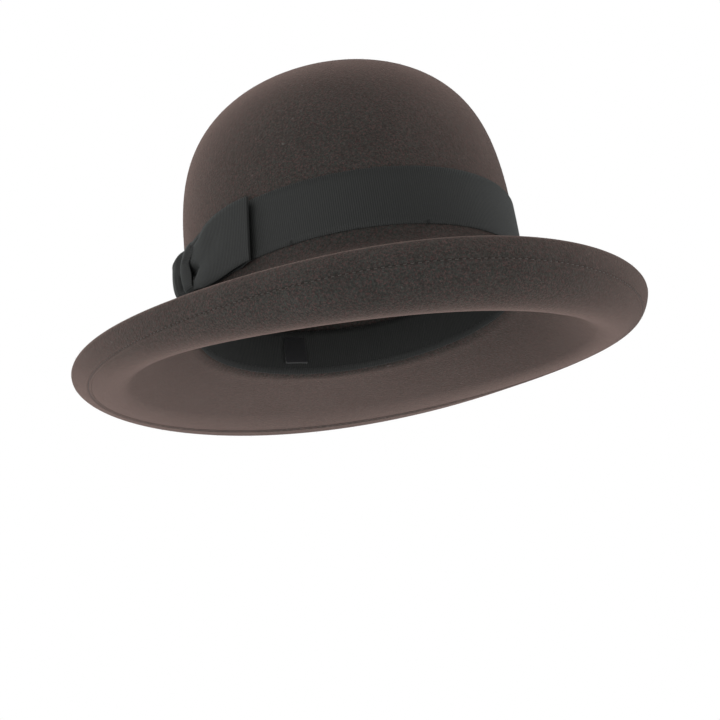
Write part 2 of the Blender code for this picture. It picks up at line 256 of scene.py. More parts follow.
def makeRibGroup():
    # grosgrain: stout cords across the ribbon, fine yarns along it; UV is in metres; the colour is darkened in the
    # valleys between the cords, a painted shade
    tree, given, taken = newGroup(
        "ribbedWeave",
        [
            ("UV", "Vector", None),
            ("Base", "Color", (0.02, 0.02, 0.02, 1)),
            ("Pitch", "Float", 0.0009),
            ("ValleyShade", "Float", 0.5),
        ],
        [("Color", "Color"), ("Height", "Float"), ("Roughness", "Float")],
    )
    split = addNode(tree, "ShaderNodeSeparateXYZ", {0: given["UV"]}).outputs
    turnsOfRib = sums(tree, "DIVIDE", split["X"], given["Pitch"])
    crest = sums(tree, "ABSOLUTE", sums(tree, "SINE", sums(tree, "MULTIPLY", turnsOfRib, math.pi), 0.0), 0.0)
    whichRib = sums(tree, "FLOOR", turnsOfRib, 0.0)
    yarnWave = sums(tree, "SINE", sums(tree, "MULTIPLY", split["Y"], 2 * math.pi / 0.00031), 0.0)
    yarnRow = addNode(tree, "ShaderNodeCombineXYZ", {"X": whichRib, "Y": sums(tree, "MULTIPLY", split["Y"], 900.0)})
    ribTone = noise(tree, yarnRow.outputs[0], 1.0, 2.0)
    yarn = sums(tree, "ADD", sums(tree, "MULTIPLY", yarnWave, 0.25), ribTone)
    # painted shade: the colour is darkened towards the valleys between the cords, standing in for their shadow
    shade = remap(tree, crest, 0.0, 0.75, 0.0, 1.0)
    depth = sums(tree, "MULTIPLY", sums(tree, "SUBTRACT", shade, 1.0), given["ValleyShade"])
    shade = sums(tree, "ADD", depth, 1.0)
    tone = remap(tree, ribTone, 0.3, 0.7, 0.86, 1.14)
    tone = sums(tree, "MULTIPLY", tone, shade)
    colour = blendColour(tree, 1.0, given["Base"], tone, "MULTIPLY")
    tree.links.new(colour, taken["Color"])
    yarnPart = sums(tree, "MULTIPLY", yarn, 0.3)
    crestPart = sums(tree, "MULTIPLY", crest, 0.7)
    tree.links.new(sums(tree, "ADD", yarnPart, crestPart), taken["Height"])
    tree.links.new(remap(tree, yarn, 0.2, 0.8, 0.62, 0.8), taken["Roughness"])
    return tree


def makeLintGroup():
    # a few pale specks of lint and dust caught on the cloth
    tree, given, taken = newGroup(
        "caughtLint",
        [
            ("Position", "Vector", None),
            ("Color", "Color", (0.05, 0.05, 0.05, 1)),
            ("Lint", "Color", (0.2, 0.18, 0.17, 1)),
            ("Amount", "Float", 0.5),
        ],
        [("Color", "Color")],
    )
    where = stretched(tree, given["Position"], (0.5, 0.2, 0.9), (1, 0.45, 0.8))
    specks = remap(tree, noise(tree, where, 480.0, 1.0, 0.4), 0.76, 0.84)
    patches = remap(tree, noise(tree, given["Position"], 26.0, 2.0), 0.45, 0.62)
    share = sums(tree, "MULTIPLY", sums(tree, "MULTIPLY", specks, patches), given["Amount"], clamp=True)
    tree.links.new(blendColour(tree, share, given["Color"], given["Lint"]), taken["Color"])
    return tree


groups = {"fibres": makeFibreGroup(), "ribs": makeRibGroup(), "lint": makeLintGroup()}


def newMaterial(name, facts):
    material = bpy.data.materials.new(name)
    material.use_nodes = True
    tree = material.node_tree
    shader = tree.nodes["Principled BSDF"]
    for key, value in facts["shader"].items():
        shader.inputs[key].default_value = value
    return material, tree, shader


def placeGroup(tree, name, values):
    node = tree.nodes.new("ShaderNodeGroup")
    node.node_tree = groups[name]
    for key, value in values.items():
        if isinstance(value, bpy.types.NodeSocket):
            tree.links.new(value, node.inputs[key])
        else:
            node.inputs[key].default_value = value
    return node.outputs


def addBump(tree, shader, height, strength, distance):
    values = {"Height": height, "Strength": strength, "Distance": distance}
    bump = addNode(tree, "ShaderNodeBump", values)
    tree.links.new(bump.outputs["Normal"], shader.inputs["Normal"])


feltFinish = {
    "base": (0.0285, 0.0288, 0.0272, 1),
    "warm": (0.064, 0.0335, 0.0325, 1),
    "cool": (0.0200, 0.0300, 0.0255, 1),
    "flecks": 0.75,
    "tone": 0.10,
    # painted shade: the dark colour laid along the stitch line, standing in for the shadow in its groove
    "seamShade": (0.014, 0.013, 0.012, 1),
    "bump": 1.0,
    "bumpDepth": 0.0006,
    "shader": {
        "Roughness": 0.95,
        "Specular IOR Level": 0.08,
        "Sheen Weight": 0.28,
        "Sheen Roughness": 0.54,
        "Sheen Tint": (1.0, 0.70, 0.62, 1),
    },
}


def makeFeltMaterial(name, facts):
    material, tree, shader = newMaterial(name, facts)
    where = addNode(tree, "ShaderNodeTexCoord").outputs["Object"]
    fibres = placeGroup(tree, "fibres", {
        "Position": where,
        "Base": facts["base"],
        "Warm": facts["warm"],
        "Cool": facts["cool"],
        "Flecks": facts["flecks"],
        "Tone": facts["tone"],
    })
    lint = placeGroup(tree, "lint", {"Position": where, "Color": fibres["Color"], "Amount": 0.35})
    # painted shade: the felt's colour is darkened along the stitch groove, standing in for its shadow
    sunk = addNode(tree, "ShaderNodeAttribute", attribute_name="seamShade").outputs["Fac"]
    tree.links.new(blendColour(tree, sunk, lint["Color"], facts["seamShade"]), shader.inputs["Base Color"])
    tree.links.new(fibres["Roughness"], shader.inputs["Roughness"])
    addBump(tree, shader, fibres["Height"], facts["bump"], facts["bumpDepth"])
    return material


grosgrainFinish = {
    "base": (0.0170, 0.0184, 0.0174, 1),
    "pitch": 0.00115,
    # how far the rib valleys are darkened, a painted shade
    "valleyShade": 0.85,
    "bump": 0.5,
    "bumpDepth": 0.00008,
    "lint": 0.25,
    "shader": {
        "Specular IOR Level": 0.44,
        "Sheen Weight": 0.12,
        "Sheen Roughness": 0.4,
        "Sheen Tint": (0.85, 0.95, 0.92, 1),
    },
}


def makeGrosgrain(name, facts):
    material, tree, shader = newMaterial(name, facts)
    coordinates = addNode(tree, "ShaderNodeTexCoord").outputs
    ribs = placeGroup(tree, "ribs", {
        "UV": coordinates["UV"],
        "Base": facts["base"],
        "Pitch": facts["pitch"],
        "ValleyShade": facts["valleyShade"],
    })
    lint = placeGroup(tree, "lint", {
        "Position": coordinates["Object"],
        "Color": ribs["Color"],
        "Lint": (0.09, 0.09, 0.088, 1),
        "Amount": facts["lint"],
    })
    tree.links.new(lint["Color"], shader.inputs["Base Color"])
    tree.links.new(ribs["Roughness"], shader.inputs["Roughness"])
    addBump(tree, shader, ribs["Height"], facts["bump"], facts["bumpDepth"])
    return material


threadFinish = {
    "base": (0.052, 0.045, 0.039, 1),
    "shader": {"Roughness": 0.6, "Specular IOR Level": 0.3, "Sheen Weight": 0.2},
}
napFinish = {
    "base": (0.085, 0.058, 0.050, 1),
    "shader": {"Roughness": 0.7, "Specular IOR Level": 0.2, "Sheen Weight": 0.4},
}
blackThreadFinish = {
    "base": (0.012, 0.012, 0.012, 1),
    "shader": {"Roughness": 0.6, "Specular IOR Level": 0.25, "Sheen Weight": 0.05},
}


def makeThread(name, facts):
    material, tree, shader = newMaterial(name, facts)
    where = addNode(tree, "ShaderNodeTexCoord").outputs["Object"]
    twist = noise(tree, stretched(tree, where, (0.6, 0.4, 0.8), (2200, 5200, 3600)), 1.0, 2.0)
    dark = remap(tree, twist, 0.35, 0.65, 0.6, 1.25)
    colour = blendColour(tree, 1.0, facts["base"], dark, "MULTIPLY")
    tree.links.new(colour, shader.inputs["Base Color"])
    tree.links.new(remap(tree, twist, 0.3, 0.7, 0.62, 0.42), shader.inputs["Roughness"])
    addBump(tree, shader, twist, 0.5, 0.00006)
    return material


satinFinish = {
    "base": (0.014, 0.014, 0.015, 1),
    "shader": {"Roughness": 0.35, "Specular IOR Level": 0.5, "Sheen Weight": 0.15},
}


def makeSatin(name, facts):
    # long floats of yarn that catch the light, in a fine slanting step
    material, tree, shader = newMaterial(name, facts)
    where = addNode(tree, "ShaderNodeTexCoord").outputs["Object"]
    floats = noise(tree, stretched(tree, where, (0, 0, 0), (900, 900, 6500)), 1.0, 2.0)
    slant = stretched(tree, where, (0, 0.6, 0), (1, 1, 1))
    steps = addNode(tree, "ShaderNodeTexWave", {"Vector": slant, "Scale": 900.0, "Distortion": 0.4})
    height = sums(tree, "ADD", floats, sums(tree, "MULTIPLY", steps.outputs["Fac"], 0.4))
    colour = blendColour(tree, 1.0, facts["base"], remap(tree, height, 0.4, 1.0, 0.75, 1.35), "MULTIPLY")
    tree.links.new(colour, shader.inputs["Base Color"])
    tree.links.new(remap(tree, height, 0.4, 1.0, 0.42, 0.26), shader.inputs["Roughness"])
    addBump(tree, shader, height, 0.3, 0.00005)
    return material


steelFinish = {
    "base": (0.42, 0.42, 0.44, 1),
    "worn": (0.27, 0.25, 0.23, 1),
    "shader": {"Metallic": 1.0, "Roughness": 0.32},
}


def makeSteel(name, facts):
    material, tree, shader = newMaterial(name, facts)
    where = addNode(tree, "ShaderNodeTexCoord").outputs["Object"]
    drawn = noise(tree, stretched(tree, where, (0.3, 0.2, 0.1), (300, 300, 3000)), 1.0, 3.0)
    stain = remap(tree, noise(tree, where, 160.0, 3.0), 0.45, 0.7)
    tree.links.new(blendColour(tree, stain, facts["base"], facts["worn"]), shader.inputs["Base Color"])
    tree.links.new(remap(tree, drawn, 0.3, 0.7, 0.26, 0.46), shader.inputs["Roughness"])
    addBump(tree, shader, drawn, 0.2, 0.00003)
    return material


feltCloth = makeFeltMaterial("brownWoolFelt", feltFinish)
grosgrain = makeGrosgrain("blackGrosgrain", grosgrainFinish)
brownThread = makeThread("brownThread", threadFinish)
napFibre = makeThread("napFibre", napFinish)
blackThread = makeThread("blackThread", blackThreadFinish)
satin = makeSatin("blackSatin", satinFinish)
springSteel = makeSteel("springSteel", steelFinish)
print("materials made")

# Measures shared with the solid model, in metres and degrees.
crown = {
    "halfLength": 0.1025,
    "halfWidth": 0.0896,
    "height": 0.138,
    "fullness": 4.8,
    "shoulder": 2.1,
    "taper": 0.03,
    "leanBack": 0.0075,
}
brim = {
    # mean, front to back, front to side, left to right, three times round
    "width": (0.0916, 0.0091, 0.0135, 0.0, 0.0),
    "slope": (-34.6, -26.0, 3.5, 3.8, 1.7),
    "rimSlope": (67.0, 53.5, -5.7, -16.0, 0.0),
    "rollStart": 0.525,
    "rollEase": 0.72,
    "fillet": 0.006,
    "fineSteps": 240,
}
felt = {
    "thickness": 0.0018,
    "gap": 0.0003,
    "foldRadius": 0.00165,
    "weltWidth": 0.0125,
    "weltProud": 0.0006,
    "weltEaseIn": 0.009,
    "stitchFromRim": 0.011,
    "grooveDepth": 0.00048,
    "grooveWidth": 0.0013,
    "edgePressed": 0.00040,
    # width of the painted shade line along the stitching
    "seamShadeWidth": 0.00035,
    "stations": 288,
    "crownRings": 44,
    "slopeRows": 9,
    "rollRows": 14,
    "tuckRows": 9,
    "foldRows": 8,
}


def ease(share):
    share = max(0.0, min(1.0, share))
    return share * share * (3 - 2 * share)


def bell(value, middle, width):
    return math.exp(-((value - middle) / width) ** 2)


def readOff(table, value):
    # a smooth curve through the (value, result) pairs of a table, level beyond its ends
    after = min(max(bisect.bisect_left(table, (value,)), 1), len(table) - 1)
    low, high = table[after - 1], table[after]
    before, beyond = table[max(after - 2, 0)], table[min(after + 1, len(table) - 1)]
    span = high[0] - low[0]
    share = max(0.0, min(1.0, (value - low[0]) / span))
    leaving = span * (high[1] - before[1]) / (high[0] - before[0])
    arriving = span * (beyond[1] - low[1]) / (beyond[0] - low[0])
    rest = 1 - share
    curve = leaving * share * rest**2 - arriving * share**2 * rest
    return low[1] * (1 + 2 * share) * rest**2 + high[1] * share**2 * (3 - 2 * share) + curve


def around(measure, turn):
    mean, frontBack, frontSide, leftRight, threefold = measure
    swing = frontBack * math.cos(turn) + frontSide * math.cos(2 * turn)
    return mean + swing + leftRight * math.sin(turn) + threefold * math.cos(3 * turn)


def crownPoint(turn, height, standOff=0.0):
    share = max(0.0, min(1.0, height / crown["height"]))
    scale = (1 - share ** crown["fullness"]) ** (1 / crown["shoulder"]) * (1 - crown["taper"] * share)
    lean = crown["leanBack"] * (height / crown["height"]) ** 2
    return Vector((
        (crown["halfWidth"] * scale + standOff) * math.sin(turn),
        -(crown["halfLength"] * scale + standOff) * math.cos(turn) + lean,
        height,
    ))


def brimPoint(turn, reach, height):
    out = Vector((crown["halfLength"] * math.sin(turn), -crown["halfWidth"] * math.cos(turn), 0))
    return crownPoint(turn, 0.0) + out.normalized() * reach + Vector((0, 0, height))


def brimProfile(turn):
    width = around(brim["width"], turn)
    start = math.radians(around(brim["slope"], turn))
    end = math.radians(around(brim["rimSlope"], turn))
    pace = width / brim["fineSteps"]
    reach = 0.0
    height = 0.0
    profile = [(0.0, 0.0, 0.0, start)]
    for step in range(1, brim["fineSteps"] + 1):
        middle = (step - 0.5) / brim["fineSteps"]
        rolled = max(0.0, (middle - brim["rollStart"]) / (1 - brim["rollStart"])) ** brim["rollEase"]
        slope = start + (end - start) * rolled
        reach += pace * math.cos(slope)
        height += pace * math.sin(slope)
        profile.append((pace * step, reach, height, slope))
    return profile


def below(profile, distance, depth):
    # reach and height of a point that deep under the brim's underside
    count = len(profile) - 1
    place = max(0.0, min(count - 1e-6, distance / profile[-1][0] * count))
    low = profile[int(place)]
    high = profile[int(place) + 1]
    share = place - int(place)
    reach, height, slope = (a + (b - a) * share for a, b in zip(low[1:], high[1:]))
    return reach + depth * math.sin(slope), height - depth * math.cos(slope)


weltDepth = felt["weltProud"] - felt["thickness"] / 2


def brimDepth(fromFold):
    # depth of the brim's own layer, which makes room for the welt
    if fromFold > felt["weltWidth"]:
        tucked = weltDepth - felt["thickness"] - felt["gap"]
        away = ease((fromFold - felt["weltWidth"]) / felt["weltEaseIn"])
        return tucked + (-felt["thickness"] / 2 - tucked) * away
    layers = felt["thickness"] + felt["gap"]
    layers += (2 * felt["foldRadius"] - layers) * ease(1 - fromFold / felt["weltWidth"])
    return weltDepth - layers


def steps(start, end, count):
    return [start + (end - start) * step / count for step in range(count)]


def feltMiddle(turn):
    # (point, groove) down the middle of the felt: crown, break, brim, fold, welt
    half = felt["thickness"] / 2
    line = []
    for ring in range(felt["crownRings"]):
        angle = math.pi / 2 * ring / felt["crownRings"]
        height = (crown["height"] - half) * math.cos(angle) ** (2 / crown["fullness"])
        tight = min(1.0, angle * 3)
        if ring == 0:
            line.append((Vector((0, crown["leanBack"], crown["height"] - half)), 0.0))
        else:
            line.append((crownPoint(turn, height, -half * tight), 0.0))
    for height in (0.029, 0.024, 0.019, 0.0145, 0.0105, 0.0078, brim["fillet"]):
        line.append((crownPoint(turn, height, -half), 0.0))

    profile = brimProfile(turn)
    width = profile[-1][0]
    foldStart = width - felt["foldRadius"] - half
    wallEnd = line[-1][0]
    corner = crownPoint(turn, 0.0, -half)
    slopeStart = brimPoint(turn, *below(profile, brim["fillet"], -half))
    for share in (0.17, 0.33, 0.5, 0.67, 0.83):
        point = wallEnd * (1 - share) ** 2 + corner * 2 * share * (1 - share) + slopeStart * share**2
        line.append((point, 0.0))
    rollStart = width * brim["rollStart"]
    tuckStart = foldStart - felt["weltWidth"] - felt["weltEaseIn"] - 0.001
    distances = steps(brim["fillet"], rollStart, felt["slopeRows"])
    distances += steps(rollStart, tuckStart, felt["rollRows"])
    distances += steps(tuckStart, foldStart - felt["weltWidth"] - 0.0012, felt["tuckRows"])
    distances += [foldStart - felt["weltWidth"] - past for past in (0.0011, 0.0008, 0.0005, 0.0003, 0.00012)]
    distances += [foldStart - fromFold for fromFold in weltRows]
    distances.append(foldStart)
    for distance in distances:
        fromFold = foldStart - distance
        point = brimPoint(turn, *below(profile, distance, brimDepth(fromFold)))
        line.append((point, groove(fromFold) if fromFold < felt["weltWidth"] else 0.0))

    over = Vector(below(profile, foldStart, brimDepth(0.0)))
    under = Vector(below(profile, foldStart, weltDepth))
    across = (under - over) / 2
    outward = Vector((-across.y, across.x))
    for step in range(1, felt["foldRows"]):
        angle = math.pi * step / felt["foldRows"]
        spot = (over + under) / 2 + outward * math.sin(angle) - across * math.cos(angle)
        line.append((brimPoint(turn, *spot), 0.0))
    for fromFold in [0.0, *weltRows[::-1]]:
        point = brimPoint(turn, *below(profile, foldStart - fromFold, weltDepth))
        line.append((point, groove(fromFold)))
    return line


# How far from the fold the rows of the welt lie, close together at the stitching.
weltRows = (
    0.0125, 0.0122, 0.0118, 0.0114, 0.01115, 0.0109, 0.01065, 0.0103, 0.0098, 0.009, 0.0078,
    0.0062, 0.0045, 0.003, 0.0018, 0.0008,
)


def groove(fromFold):
    # the stitches pull the felt down, and beyond them the cut edge is pressed thin
    away = (fromFold - felt["stitchFromRim"]) / felt["grooveWidth"]
    pulled = felt["grooveDepth"] * math.exp(-(away * 2) ** 2)
    pressed = felt["edgePressed"] * ease((fromFold - felt["stitchFromRim"] - 0.0002) / 0.0013)
    return max(pulled, pressed)


def feltFaces(turn):
    # the outer face down to the welt's cut edge, and the inner face back up to the tip
    line = feltMiddle(turn)
    beside = feltBeside(turn)
    half = felt["thickness"] / 2
    outer = []
    inner = []
    filled = filling(turn)
    for i, (point, sunk) in enumerate(line):
        ahead = line[min(i + 1, len(line) - 1)][0]
        behind = line[max(i - 1, 0)][0]
        if i == 0:
            outward = Vector((0, 0, 1))
        else:
            outward = (ahead - behind).cross(beside[i]).normalized()
        outer.append(point + outward * (half - sunk))
        inner.append(point - outward * (half + filled.get(i, 0.0)))
    past = (line[-1][0] - line[-2][0]).normalized()
    lip = [
        (outer[-1] * 0.93 + inner[-1] * 0.07) + past * half * 0.30,
        (outer[-1] * 0.75 + inner[-1] * 0.25) + past * half * 0.55,
        (outer[-1] * 0.4 + inner[-1] * 0.6) + past * half * 0.62,
        (outer[-1] * 0.12 + inner[-1] * 0.88) + past * half * 0.3,
    ]
    return outer + lip + inner[::-1]


def filling(turn):
    # beside the welt the brim's underside is felted up level with the welt's pressed edge
    first = felt["crownRings"] + 7 + 5 + felt["slopeRows"] + felt["rollRows"]
    half = felt["thickness"] / 2
    tuckWidth = felt["weltEaseIn"] + 0.001
    pasts = [tuckWidth - (tuckWidth - 0.0012) * step / felt["tuckRows"] for step in range(felt["tuckRows"])]
    pasts += [0.0011, 0.0008, 0.0005, 0.0003, 0.00012]
    filled = {}
    for i, past in enumerate(pasts):
        gap = -(brimDepth(felt["weltWidth"] + past) + half)
        filled[first + i] = gap * ease(past / 0.0004)
    return filled


def feltBeside(turn):
    # the direction round the hat at each row, from two nearby sections
    small = 0.004
    ahead = [point for point, _ in feltMiddle(turn + small)]
    behind = [point for point, _ in feltMiddle(turn - small)]
    return [
        (a - b).normalized() if (a - b).length > 1e-9 else Vector((1, 0, 0))
        for a, b in zip(ahead, behind)
    ]


def finishPiece(name, shape, material, smooth=True, sharpAngle=None):
    mesh = bpy.data.meshes.new(name)
    shape.to_mesh(mesh)
    shape.free()
    piece = bpy.data.objects.new(name, mesh)
    scene.collection.objects.link(piece)
    mesh.materials.append(material)
    if smooth:
        mesh.shade_smooth()
    if sharpAngle:
        mesh.set_sharp_from_angle(angle=math.radians(sharpAngle))
    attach(piece, "root")
    return piece


def turnOutward(name, shape):
    # a loose cap or an unwelded seam has no outside, so a skin that isn't closed stops the script
    if not all(edge.is_manifold for edge in shape.edges):
        raise ValueError(name + " isn't closed")
    bmesh.ops.recalc_face_normals(shape, faces=shape.faces)


def threadPiece(name, lines, radius, material, sides=1):
    # short lengths of round thread through the points of each line
    curve = bpy.data.curves.new(name, "CURVE")
    curve.dimensions = "3D"
    curve.bevel_depth = radius
    curve.bevel_resolution = sides
    curve.use_fill_caps = True
    for line in lines:
        spline = curve.splines.new("POLY")
        spline.points.add(len(line) - 1)
        for point, place in zip(spline.points, line):
            point.co = (*place, 1.0)
    drawn = bpy.data.objects.new(name, curve)
    scene.collection.objects.link(drawn)
    mesh = bpy.data.meshes.new_from_object(drawn.evaluated_get(bpy.context.evaluated_depsgraph_get()))
    bpy.data.objects.remove(drawn)
    bpy.data.curves.remove(curve)
    shape = bmesh.new()
    shape.from_mesh(mesh)
    bpy.data.meshes.remove(mesh)
    # the curve's end caps come loose from its tube
    bmesh.ops.remove_doubles(shape, verts=shape.verts, dist=1e-7)
    turnOutward(name, shape)
    return finishPiece(name, shape, material, sharpAngle=50)


def seamShadeRows(rows):
    # painted shade: how dark each row of the felt's colour is painted along the sunken line of stitching, standing
    # in for the groove's shadow
    shades = [0.0] * rows
    lastUnder = len(feltMiddle(0.0)) - 1
    firstOver = lastUnder - felt["foldRows"] - 2 * len(weltRows)
    for i, fromFold in enumerate(weltRows):
        shade = bell(fromFold, felt["stitchFromRim"], felt["seamShadeWidth"])
        shades[lastUnder - i] = shade
        shades[firstOver + i] = shade
    return shades


def buildFelt():
    stations = felt["stations"]
    sections = {}
    rows = len(feltFaces(0.0))
    # a grid wrapped round the hat, because a spin's faces come in another order each run
    shape = bmesh.new()
    bmesh.ops.create_grid(shape, x_segments=stations, y_segments=rows - 1, size=0.5)
    rowLayer = shape.verts.layers.float.new("row")
    # painted shade along the stitch groove, a darkness for each vertex
    seamShadeLayer = shape.verts.layers.float.new("seamShade")
    seamShade = seamShadeRows(rows)
    for vertex in shape.verts:
        station = round((vertex.co.x + 0.5) * stations) % stations
        row = round((vertex.co.y + 0.5) * (rows - 1))
        if station not in sections:
            sections[station] = feltFaces(2 * math.pi * station / stations)
        vertex[rowLayer] = row
        vertex[seamShadeLayer] = seamShade[row]
        vertex.co = sections[station][row]
    bmesh.ops.remove_doubles(shape, verts=shape.verts, dist=1e-6)
    turnOutward("feltShell", shape)
    piece = finishPiece("feltShell", shape, feltCloth)
    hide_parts("felt_body")
    return piece


feltShell = buildFelt()
print("felt blocked and welted:", len(feltShell.data.polygons), "faces")

nap = {"fibres": 6500, "seed": 7, "shortest": 0.0009, "longest": 0.0023, "radius": 0.000022, "lift": 0.30}


def raiseNap(facts):
    # loose wool fibres that lie on the felt and lift at their tips
    chance = random.Random(facts["seed"])
    mesh = feltShell.data
    rowOf = mesh.attributes["row"].data
    lastOuter = len(feltMiddle(0.0)) + 3
    hidden = felt["foldRows"] + 2 * len(weltRows) + 2
    lastInner = lastOuter + len(feltMiddle(0.0)) - felt["crownRings"] - 9
    faces = []
    areas = []
    total = 0.0
    for face in mesh.polygons:
        row = rowOf[face.vertices[0]].value
        if row <= lastOuter or lastOuter + hidden < row < lastInner:
            total += face.area
            faces.append(face)
            areas.append(total)
    lines = []
    for number in range(facts["fibres"]):
        face = faces[bisect.bisect_left(areas, chance.random() * total)]
        corners = [mesh.vertices[v].co for v in face.vertices]
        shares = [chance.random() + 0.05 for _ in corners]
        root = sum((c * s for c, s in zip(corners, shares)), Vector()) / sum(shares)
        normal = face.normal
        side = normal.cross(Vector((chance.uniform(-1, 1), chance.uniform(-1, 1), chance.uniform(-1, 1))))
        side.normalize()
        bent = side.cross(normal) * chance.uniform(-0.35, 0.35)
        length = chance.uniform(facts["shortest"], facts["longest"])
        lift = length * facts["lift"] * chance.random() ** 2
        middle = root + (side + bent) * length * 0.5 + normal * lift * 0.35
        end = root + side * length + normal * lift
        lines.append((root - normal * 0.00003, middle + normal * 0.00003, end + normal * 0.00002))
    piece = threadPiece("feltNap", lines, facts["radius"], napFibre, sides=0)
    return piece


napPiece = raiseNap(nap)
print("nap raised:", nap["fibres"], "fibres")

# Distances round the crown at the ribbon's height, so that cloth lies on it at its true length.
roundTable = [(0.0, -math.pi)]
for spot in range(1440):
    turnBefore = -math.pi + 2 * math.pi * spot / 1440
    turnAfter = -math.pi + 2 * math.pi * (spot + 1) / 1440
    pace = (crownPoint(turnAfter, 0.02) - crownPoint(turnBefore, 0.02)).length
    roundTable.append((roundTable[-1][0] + pace, turnAfter))
roundCrown = roundTable[-1][0]


def turnAtLength(length):
    laps = math.floor(length / roundCrown)
    rest = length - laps * roundCrown
    after = min(max(bisect.bisect_left(roundTable, (rest,)), 1), len(roundTable) - 1)
    low = roundTable[after - 1]
    high = roundTable[after]
    share = (rest - low[0]) / (high[0] - low[0])
    return low[1] + (high[1] - low[1]) * share + 2 * math.pi * laps


def lengthAtTurn(turn):
    place = (turn + math.pi) / (2 * math.pi) * 1440
    low = roundTable[int(place)]
    high = roundTable[min(int(place) + 1, 1440)]
    return low[0] + (high[0] - low[0]) * (place - int(place))


def bandSection(faceRows, backRows):
    # (across, out) as shares, up the face, over one edge, down the back and over the other
    section = [(-1 + 2 * i / (faceRows - 1), 1.0) for i in range(faceRows)]
    section += [(1.0, 0.0)]
    section += [(1 - 2 * i / (backRows - 1), -1.0) for i in range(backRows)]
    section += [(-1.0, 0.0)]
    return section


def weaveBand(name, facts, lay, closed, material):
    # a ribbed ribbon of cloth as a closed skin; lay puts (along, across, out) in its place
    ribs = round(facts["length"] / facts["pitch"])
    columns = ribs * 4
    section = bandSection(facts["faceRows"], facts["backRows"])
    section.append(section[0])
    rows = len(section) - 1
    half = facts["width"] / 2
    shape = bmesh.new()
    bmesh.ops.create_grid(shape, x_segments=columns, y_segments=rows, size=0.5)
    uvLayer = shape.loops.layers.uv.new("UVMap")
    marks = {}
    for vertex in shape.verts:
        column = round((vertex.co.x + 0.5) * columns)
        row = round((vertex.co.y + 0.5) * rows)
        share, out = section[row]
        along = facts["length"] * column / columns
        crest = abs(math.sin(math.pi * column / 4))
        skin = facts["thickness"] / 2 + facts["ribDepth"] * (crest - 0.5)
        across = share * half
        if abs(share) == 1.0:
            across += share * facts["scallop"] * crest + (share * skin * 0.6 if out == 0 else 0)
        marks[vertex] = (along, across + (facts["width"] * 1.5 if out < 0 else 0))
        # a closed band's last column is its first one again, so that the two weld
        vertex.co = lay(0.0 if closed and column == columns else along, across, out * skin)
    for face in shape.faces:
        for loop in face.loops:
            loop[uvLayer].uv = marks[loop.vert]
    bmesh.ops.remove_doubles(shape, verts=shape.verts, dist=1e-6)
    if not closed:
        edges = [edge for edge in shape.edges if edge.is_boundary]
        bmesh.ops.holes_fill(shape, edges=edges, sides=0)
    turnOutward(name, shape)
    return finishPiece(name, shape, material)


ribbon = {
    "low": 0.010,
    "width": 0.032,
    "thickness": 0.0006,
    "standOff": 0.0006,
    "pitch": 0.00115,
    "ribDepth": 0.00016,
    "scallop": 0.00030,
    "faceRows": 9,
    "backRows": 5,
    "length": roundCrown,
}


def layRibbon(along, across, out):
    turn = turnAtLength(along)
    height = ribbon["low"] + ribbon["width"] / 2 + across
    # it lies close but not glued: slow, shallow waves, a little looser along its top edge
    loose = 0.00016 * (1 + math.sin(5 * turn + 1.1) * math.sin(3 * turn)) * (0.5 + across / 0.032)
    return crownPoint(turn, height, ribbon["standOff"] + loose + out)


ribbonPiece = weaveBand("ribbonBand", ribbon, layRibbon, True, grosgrain)
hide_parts("crown_ribbon")
print("ribbon laid:", round(ribbon["length"] * 1000), "mm round")

bow = {
    "turn": -92.0,
    "height": 0.0254,
    "width": 0.035,
    "thickness": 0.0006,
    "pitch": 0.00115,
    "ribDepth": 0.00016,
    "scallop": 0.00024,
    "faceRows": 45,
    "backRows": 13,
    "frontLength": 0.0604,
    "rearLength": 0.048,
    "inner": 0.0018,
    "outer": 0.0053,
    "waistInner": 0.0026,
    "waistOuter": 0.0060,
    "waistFrom": 0.009,
    "opening": 0.022,
    "belly": 0.0007,
    "lift": 0.0009,
    "fold": 0.0009,
    "foldReach": 0.010,
    "lean": 0.0017,
    # how far the upper and lower edges are drawn in, in millimetres from the knot outwards
    "upperEdge": (
        (0, 9.2), (10, 8.8), (17, 7.8), (20, 7.0), (22.5, 5.6), (26, 3.6),
        (31, 2.2), (37, 1.2), (45, 0.5), (53, 0.3), (62, 0.7),
    ),
    "lowerEdge": ((0, 4.0), (10, 3.2), (17, 1.2), (22, -0.2), (28, -1.1), (37, -1.4), (45, -0.8), (57, 0)),
    "pocketAt": -0.15,
    "pocketDepth": 0.0044,
}
bowLength = lengthAtTurn(math.radians(bow["turn"]))


def bowPoint(distance, standOff, rise):
    turn = turnAtLength(bowLength + distance)
    return crownPoint(turn, bow["height"] + rise, standOff)


def loopLine(length, fullness):
    # (distance, stand-off, how open) along the loop: out under, round the fold, and back over
    under = []
    over = []
    count = 60
    fold = bow["fold"]
    straight = length - fold
    for i in range(count + 1):
        distance = 0.0008 + (straight - 0.0008) * i / count
        opened = ease((distance - bow["waistFrom"]) / bow["opening"])
        lift = bow["lift"] * (fullness * (1 + ease(distance / length * 2 - 1)) - 1)
        belly = bow["belly"] * math.sin(math.pi * distance / straight) ** 2
        low = bow["waistInner"] + (bow["inner"] - bow["waistInner"]) * opened
        high = bow["waistOuter"] + (bow["outer"] - bow["waistOuter"]) * opened + (lift + belly * fullness) * opened
        low += (high - 2 * fold - low) * ease((distance - straight) / bow["foldReach"] + 1)
        under.append((distance, low, opened))
        over.append((distance, high, opened))
    middle = (under[-1][1] + over[-1][1]) / 2
    bend = []
    for i in range(1, 16):
        angle = -math.pi / 2 + math.pi * i / 16
        bend.append((straight + fold * math.cos(angle), middle + fold * math.sin(angle), 1.0))
    return under + bend + over[::-1]


def measureLine(line):
    lengths = [0.0]
    for a, b in zip(line, line[1:]):
        lengths.append(lengths[-1] + math.hypot(b[0] - a[0], b[1] - a[1]))
    return lengths


